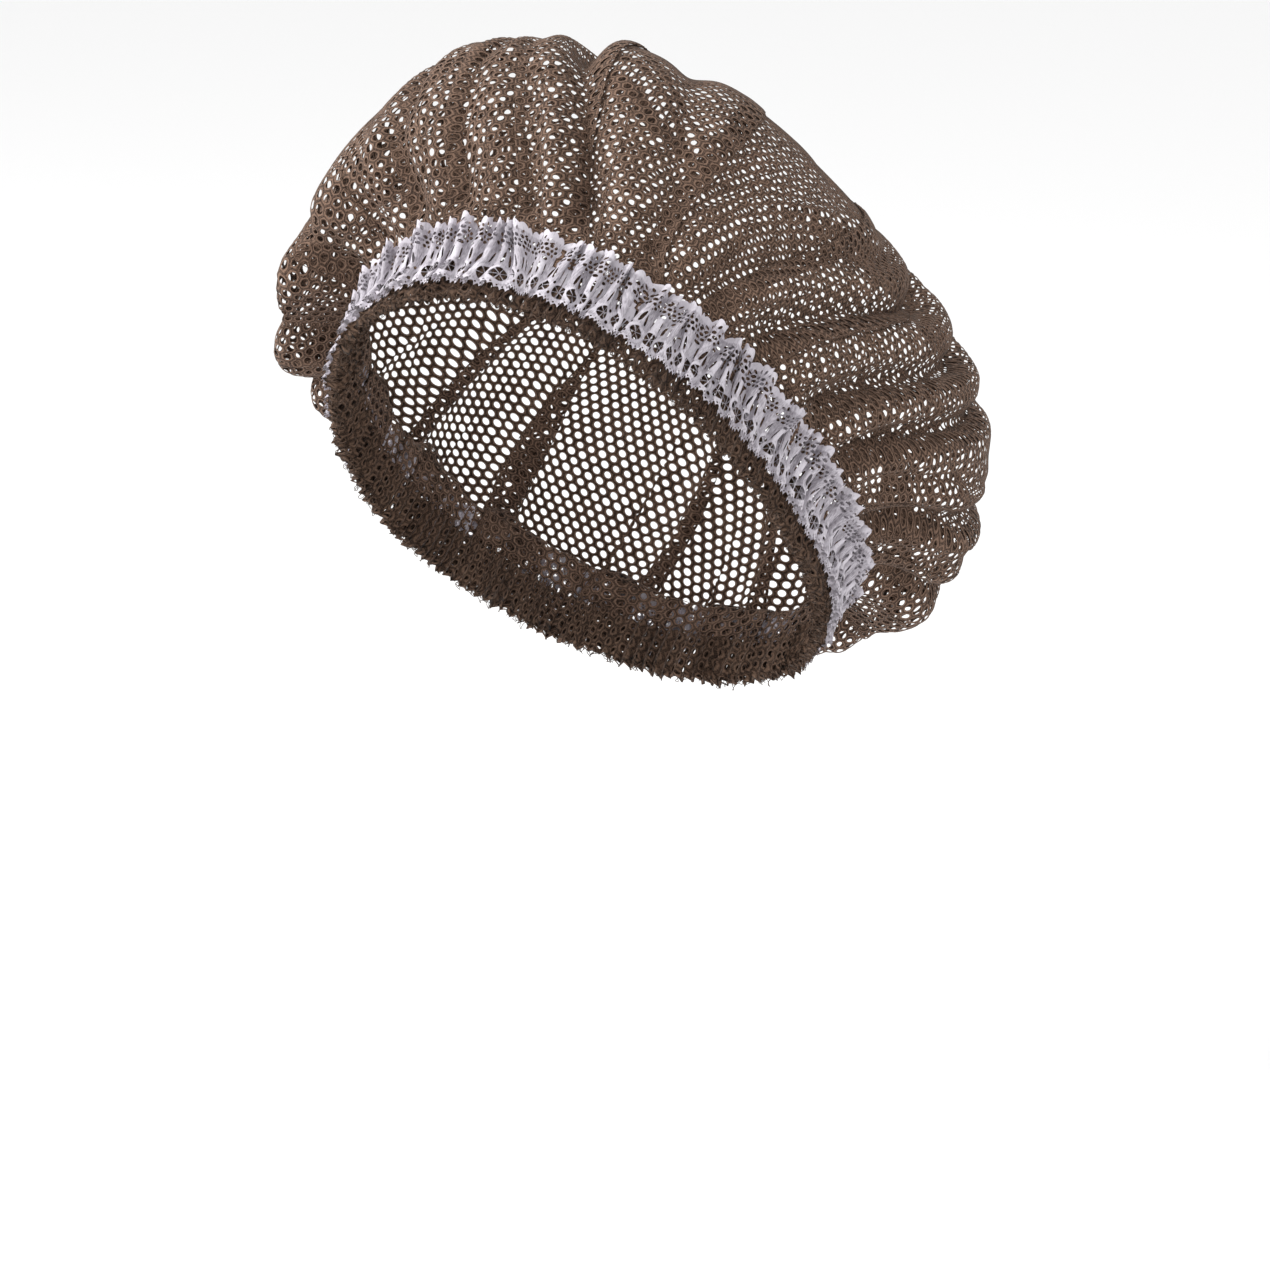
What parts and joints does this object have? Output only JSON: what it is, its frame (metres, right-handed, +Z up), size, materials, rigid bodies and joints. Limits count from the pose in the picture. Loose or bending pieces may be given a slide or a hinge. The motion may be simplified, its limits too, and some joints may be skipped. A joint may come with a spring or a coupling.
{
  "type": "bouffant hairnet",
  "caption": "Full bouffant hairnet of brown net, gathered on a ruffled hem under a frill of pleated pale lilac lace, in the form it has when worn.",
  "frame": {"origin": "middle of the head opening, level with the top of the hem", "axes": "+X to the wearer's left, -Y to the front, +Z up as worn; the band leans back by 48.5 degrees, its front high on the forehead and its back low on the nape"},
  "size_m": [0.2174, 0.2035, 0.2211],
  "materials": {
    "net": "knitted net of fine matt brown thread",
    "lace": "soft lilac white lace, slightly shiny threads",
    "casing": "gathered brown net with a fuzzy edge"
  },
  "bodies": {
    "root": {"crown": "net", "lace_band": "lace", "hem": "casing"}
  },
  "joints": []
}
